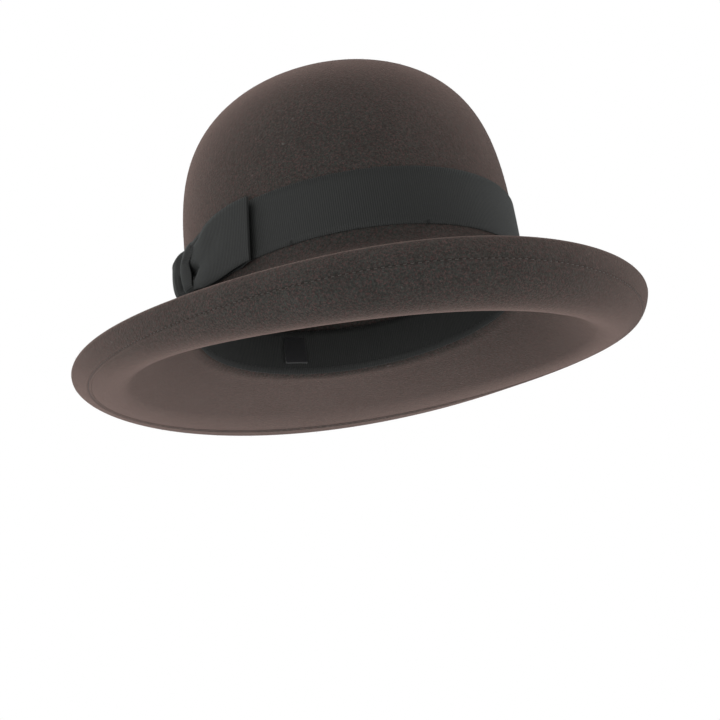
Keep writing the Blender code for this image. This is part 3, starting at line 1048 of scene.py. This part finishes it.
def alongLine(line, lengths, along):
    after = min(max(bisect.bisect_left(lengths, along), 1), len(lengths) - 1)
    share = (along - lengths[after - 1]) / (lengths[after] - lengths[after - 1])
    share = max(0.0, min(1.0, share))
    here = [a + (b - a) * share for a, b in zip(line[after - 1], line[after])]
    last = len(line) - 1
    closed = line[0] == line[-1]
    ahead = line[(after + 1) % last if closed else min(after + 1, last)]
    behind = line[(after - 2) % last if closed else max(after - 2, 0)]
    size = math.hypot(ahead[0] - behind[0], ahead[1] - behind[1])
    normal = ((ahead[1] - behind[1]) / size, -(ahead[0] - behind[0]) / size)
    return here, normal


def buildLoop(name, length, direction, fullness):
    line = loopLine(length, fullness)
    lengths = measureLine(line)
    facts = {**bow, "length": lengths[-1]}

    def lay(along, across, out):
        (distance, standOff, opened), normal = alongLine(line, lengths, along)
        share = across / (bow["width"] / 2)
        # gathered under the knot: both edges are drawn in, and the slack sinks into a pocket
        drawnDown = readOff(bow["upperEdge"], distance * 1000) / 1000 * ease((share + 0.7) / 1.7)
        drawnUp = readOff(bow["lowerEdge"], distance * 1000) / 1000 * ease((-share - 0.1) / 0.9)
        rise = across - drawnDown + drawnUp
        if along > lengths[-1] / 2:
            near = ease((0.025 - distance) / 0.013)
            wide = 0.10 + 0.26 * ease((0.021 - distance) / 0.012)
            pocket = ease((0.022 - distance) / 0.010) * bell(share, bow["pocketAt"], wide)
            standOff -= bow["pocketDepth"] * pocket
            standOff -= 0.0008 * near * ease((share - 0.2) / 0.8)
            standOff += 0.0011 * bell(distance, 0.026, 0.010) * bell(share, -0.72, 0.32) * fullness
            standOff -= 0.0007 * bell(distance, 0.033, 0.008) * bell(share, 0.15, 0.4)
            standOff -= 0.0005 * opened * share**4
        else:
            rise += 0.0012 * ease((-share - 0.3) / 0.7) * ease((0.9 - distance / length) / 0.2)
        leaning = bow["lean"] * share * ease(distance / length)
        spot = (distance + leaning - normal[0] * out, standOff - normal[1] * out)
        return bowPoint(direction * spot[0], spot[1], rise)

    piece = weaveBand(name, facts, lay, False, grosgrain)
    print(name, "folded from", round(lengths[-1] * 1000), "mm of ribbon")
    return piece


frontLoop = buildLoop("bowFront", bow["frontLength"], 1, 1.0)
rearLoop = buildLoop("bowRear", bow["rearLength"], -1, 0.2)
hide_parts("bow_front_loop")
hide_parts("bow_rear_loop")

knot = {
    # stand-off and rise round the waist of the bow, in millimetres: down behind, up in front
    "outline": (
        (1.7, 11.5), (1.6, 4), (1.6, -4), (1.7, -12), (3.0, -14.0), (6.0, -14.0), (8.3, -12.0),
        (9.3, -7.0), (9.6, -1.0), (9.0, 4.0), (7.9, 8.2), (6.3, 11.4), (4.3, 13.2), (2.5, 13.2),
    ),
    "width": 0.020,
    "thickness": 0.0006,
    "pitch": 0.00115,
    "ribDepth": 0.00018,
    "scallop": 0.00030,
    "faceRows": 121,
    "backRows": 17,
    # by rise in millimetres: how far each side reaches, and how the cloth stands there
    "frontSide": ((-14, 10.0), (-6, 10.0), (0, 8.7), (2.5, 8.5), (6.6, 12.5), (11, 16.0), (14, 16.5)),
    "rearSide": ((-14, 11.0), (0, 12.0), (9, 11.5), (14, 9.5)),
    "frontFall": ((-14, 0.8), (-6, 2.4), (2, 2.6), (7, 3.0), (11, 2.2), (14, 0.8)),
    "rearSwell": ((-14, 0.8), (-8, 1.2), (0, 1.0), (5, 1.4), (9, 2.2), (13, 0.8)),
    "creaseAt": -0.10,
    "creaseDepth": 0.0035,
    "creaseFront": 0.15,
    "creaseRear": 0.035,
    "lapStep": 0.0013,
    "rollDepth": 0.0010,
}


def knotLine():
    points = [(a / 1000, b / 1000) for a, b in knot["outline"]]
    count = len(points)
    line = []
    for i in range(count):
        before, start, end, after = (points[(i + step) % count] for step in (-1, 0, 1, 2))
        for part in range(8):
            s = part / 8
            line.append(tuple(
                0.5 * (2 * b + (c - a) * s + (2 * a - 5 * b + 4 * c - d) * s**2 + (3 * b - a - 3 * c + d) * s**3)
                for a, b, c, d in zip(before, start, end, after)
            ))
    line.append(line[0])
    return line


def buildKnot():
    line = knotLine()
    lengths = measureLine(line)
    facts = {**knot, "length": lengths[-1]}

    def lay(along, across, out):
        (standOff, rise), normal = alongLine(line, lengths, along)
        outside = ease((standOff - 0.002) / 0.004)
        share = across / (knot["width"] / 2)
        level = rise * 1000
        if share > 0:
            distance = share * (8.5 + (readOff(knot["frontSide"], level) - 8.5) * outside) / 1000
            raised = -readOff(knot["frontFall"], level) * share**3
        else:
            distance = share * readOff(knot["rearSide"], level) / 1000
            swell = readOff(knot["rearSwell"], level)
            raised = swell * math.sin(math.pi / 2 * min(1.0, -share / 0.7))
            raised -= (swell + 1.8) * ease((-share - 0.72) / 0.28)
        raised /= 1000
        # one deep crease splits the knot in two pleats, the rear one lapping over the other
        crease = knot["creaseAt"] + 0.04 * math.sin(rise * 260)
        if share > crease:
            past = (crease - share) / knot["creaseFront"]
        else:
            past = (share - crease) / knot["creaseRear"]
        raised -= knot["creaseDepth"] * math.exp(past)
        if share < crease:
            raised += knot["lapStep"] * math.exp((share - crease) / 0.25)
        rolled = ease((rise - 0.0005) / 0.003)
        raised -= knot["rollDepth"] * rolled * math.exp(-abs(share - 0.76) / 0.035)
        raised *= outside
        spot = (standOff - normal[0] * out + raised, rise - normal[1] * out)
        lowered = 1 - 0.25 * max(0.0, -share) * outside if spot[1] > 0 else 1.0
        return bowPoint(distance, spot[0], spot[1] * lowered)

    piece = weaveBand("knotWrap", facts, lay, True, grosgrain)
    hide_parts("bow_knot")
    return piece


knotPiece = buildKnot()
print("bow tied")

innerBand = {
    "low": 0.001,
    "width": 0.025,
    "thickness": 0.0008,
    "standOff": -0.0025,
    "pitch": 0.00115,
    "ribDepth": 0.00015,
    "scallop": 0.00024,
    "faceRows": 9,
    "backRows": 5,
    "length": roundCrown,
}


def layInnerBand(along, across, out):
    turn = turnAtLength(along)
    share = across / innerBand["width"] + 0.5
    loose = 0.0005 * share**2 * (1.2 + math.sin(4 * turn + 0.7) + 0.6 * math.sin(7 * turn))
    height = innerBand["low"] + innerBand["width"] / 2 + across
    return crownPoint(turn, height, innerBand["standOff"] - loose - out)


innerBandPiece = weaveBand("innerBand", innerBand, layInnerBand, True, grosgrain)
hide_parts("sweatband")
# it lies inside the felt, so its ring is shorter than the way round the crown
print("sweatband sewn in")

stitches = {
    "pitch": 0.0036,
    "share": 0.52,
    "radius": 0.00022,
    "proud": 0.00010,
    "sink": 0.0003,
}


def stitchLines(path, outward, facts, lean=0.0):
    # path and outward are functions of the share of the way round; one stitch per pitch
    samples = [path(i / 720) for i in range(721)]
    total = sum((b - a).length for a, b in zip(samples, samples[1:]))
    count = round(total / facts["pitch"])
    lines = []
    for number in range(count):
        line = []
        for share, height in ((0.0, -1.0), (0.12, 0.35), (0.35, 1.0), (0.65, 1.0), (0.88, 0.35), (1.0, -1.0)):
            place = (number + (share - 0.5) * facts["share"]) / count
            lift = facts["proud"] * height if height > 0 else facts["sink"] * height
            line.append(path(place % 1.0) + outward(place % 1.0) * lift)
        lines.append(line)
    return lines


def weltPoint(turn, fromFold, depth):
    profile = brimProfile(turn)
    foldStart = profile[-1][0] - felt["foldRadius"] - felt["thickness"] / 2
    return brimPoint(turn, *below(profile, foldStart - fromFold, depth))


def sewWelt():
    # sampled once round the brim, then read between the samples
    count = 720
    half = felt["thickness"] / 2
    sunk = felt["grooveDepth"]
    line = felt["stitchFromRim"]
    under = [weltPoint(2 * math.pi * i / count, line, weltDepth + half - sunk) for i in range(count)]
    deeper = [weltPoint(2 * math.pi * i / count, line, weltDepth + half - sunk + 0.001) for i in range(count)]
    over = [weltPoint(2 * math.pi * i / count, line, brimDepth(line) - half + sunk) for i in range(count)]
    top = brimDepth(line) - half + sunk
    higher = [weltPoint(2 * math.pi * i / count, line, top - 0.001) for i in range(count)]

    def between(samples, share):
        place = share * count
        low = int(place) % count
        return samples[low].lerp(samples[(low + 1) % count], place - int(place))

    for name, near, far, node in (
        ("weltStitchesUnder", under, deeper, "welt_needle_thread"),
        ("weltStitchesOver", over, higher, "welt_bobbin_thread"),
    ):
        path = lambda share, near=near: between(near, share)
        outward = lambda share, near=near, far=far: (between(far, share) - between(near, share)).normalized()
        piece = threadPiece(name, stitchLines(path, outward, stitches), stitches["radius"], brownThread)
        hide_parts(node)


sewWelt()


def sewInnerBand():
    standOff = innerBand["standOff"] - innerBand["thickness"] / 2
    path = lambda share: crownPoint(2 * math.pi * share, 0.004, standOff)
    outward = lambda share: Vector((-math.sin(2 * math.pi * share), math.cos(2 * math.pi * share), 0))
    lines = stitchLines(path, outward, stitches)
    piece = threadPiece("innerBandStitches", lines, stitches["radius"], blackThread)
    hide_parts("sweatband_thread")


sewInnerBand()
print("stitching done")

tag = {"low": 0.007, "height": 0.016, "halfWidth": 0.0077, "thickness": 0.00035, "standOff": -0.0033}


def buildTag():
    # a folded blank tab, its two plies held by the stitch line at its foot
    shape = bmesh.new()
    bmesh.ops.create_grid(shape, x_segments=18, y_segments=40, size=0.5)
    uvLayer = shape.loops.layers.uv.new("UVMap")
    marks = {}
    for vertex in shape.verts:
        across = vertex.co.x * 2 * tag["halfWidth"]
        run = (vertex.co.y + 0.5) * 2
        marks[vertex] = (across, run * tag["height"])
        fold = math.pi * max(0.0, min(1.0, (run - 0.94) / 0.12))
        rise = tag["height"] * (run if run < 0.94 else 2 - run if run > 1.06 else 0.94 + 0.05 * math.sin(fold))
        ply = 0.5 - 0.5 * math.cos(fold)
        bulge = 0.0004 * math.sin(math.pi * min(1.0, rise / tag["height"])) * ply
        standOff = tag["standOff"] - 0.0005 * ply - bulge - 0.0002 * math.cos(across * 300)
        vertex.co = crownPoint(math.pi + across / 0.1, tag["low"] + rise, standOff)
    for face in shape.faces:
        for loop in face.loops:
            loop[uvLayer].uv = marks[loop.vert]
    bmesh.ops.recalc_face_normals(shape, faces=shape.faces)
    piece = finishPiece("sizeTab", shape, satin)
    solidify = piece.modifiers.new("cloth", "SOLIDIFY")
    solidify.thickness = tag["thickness"]
    solidify.offset = 0.0
    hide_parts("size_tag")


buildTag()

tacks = {
    "places": {"front": 0, "left": 12, "back": 24, "right_front": 42},
    "length": 0.0026,
    "rise": 0.009,
}


def sewTacks():
    half = tacks["length"] / 2
    for place, station in tacks["places"].items():
        turn = 2 * math.pi * station / 48
        lines = []
        for side in (-0.0004, 0.0003):
            line = []
            for share, out in ((-1.0, 0.0), (-0.7, 0.0008), (0.0, 0.0013), (0.7, 0.0013), (1.0, 0.0006)):
                spot = turn + (side + 0.0002 * share) / 0.1
                line.append(crownPoint(spot, ribbon["low"] + 0.0006 + half * share, out))
            lines.append(line)
        piece = threadPiece("ribbonTack-" + place, lines, 0.00014, blackThread)
        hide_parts("ribbon_tack_" + place)
    for side, direction in (("front", 1), ("rear", -1)):
        for level, rise in (("top", tacks["rise"]), ("bottom", -tacks["rise"])):
            lines = []
            for shift in (-0.0004, 0.0004):
                line = []
                for share, out in ((0.0, 0.0040), (0.2, 0.0060), (0.5, 0.0064), (0.8, 0.0060), (1.0, 0.0040)):
                    distance = direction * (0.0105 + 0.0024 * share)
                    line.append(bowPoint(distance, out, rise + shift + 0.0003 * share))
                lines.append(line)
            piece = threadPiece("bowTack-" + side + "-" + level, lines, 0.00018, blackThread)
            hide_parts("bow_tack_" + side + "_" + level)


sewTacks()

# The wire and its joiner keep the solid model's shape, and get the steel.
for name in ("brim_wire", "wire_joiner"):
    node = nodes[name]
    node.data.materials.clear()
    node.data.materials.append(springSteel)
print("tag, tacks and wire done")
